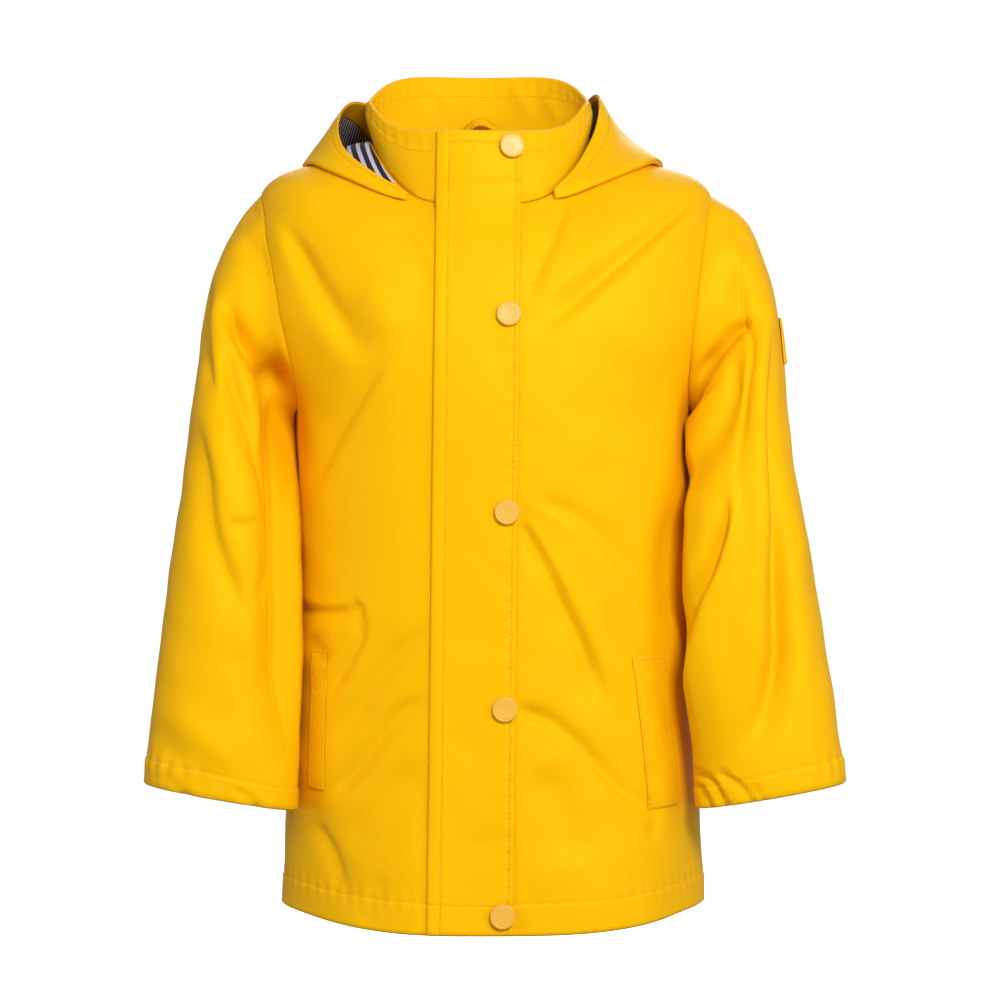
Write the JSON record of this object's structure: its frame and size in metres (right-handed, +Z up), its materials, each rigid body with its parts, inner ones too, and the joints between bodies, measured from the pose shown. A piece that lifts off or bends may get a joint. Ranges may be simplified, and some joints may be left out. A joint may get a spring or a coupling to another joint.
{
  "type": "child's hooded raincoat",
  "caption": "Child's hooded raincoat in its worn, hollow shape: stand-up collar, snapped storm flap, set-in sleeves, slanted pocket welts and a striped-lined hood folded back",
  "frame": {"origin": "at the base of the neck, in the middle of the neck opening, where the wearer's neck and shoulders hold the coat", "axes": "+Z up, the coat's front faces -Y, +X is the wearer's left"},
  "size_m": [0.444, 0.239, 0.5524],
  "materials": {
    "coated_cloth": "rubbery coated woven cloth, soft sheen",
    "striped_lining": "cotton jersey, narrow navy and pale stripes",
    "snap_plastic": "satin moulded plastic"
  },
  "bodies": {
    "root": {"back": "coated_cloth", "front_left": "coated_cloth", "front_right": "coated_cloth", "sleeve_left": "coated_cloth", "sleeve_right": "coated_cloth", "collar": "coated_cloth", "storm_flap": "coated_cloth", "hood_left": "coated_cloth", "hood_right": "coated_cloth", "hood_facing": "coated_cloth", "hood_lining_left": "striped_lining", "hood_lining_right": "striped_lining", "pocket_welt_left": "coated_cloth", "pocket_welt_right": "coated_cloth", "hang_loop": "coated_cloth", "sleeve_tab": "coated_cloth", "snap_cap_1": "snap_plastic", "snap_cap_2": "snap_plastic", "snap_cap_3": "snap_plastic", "snap_cap_4": "snap_plastic", "snap_cap_5": "snap_plastic"}
  },
  "joints": []
}
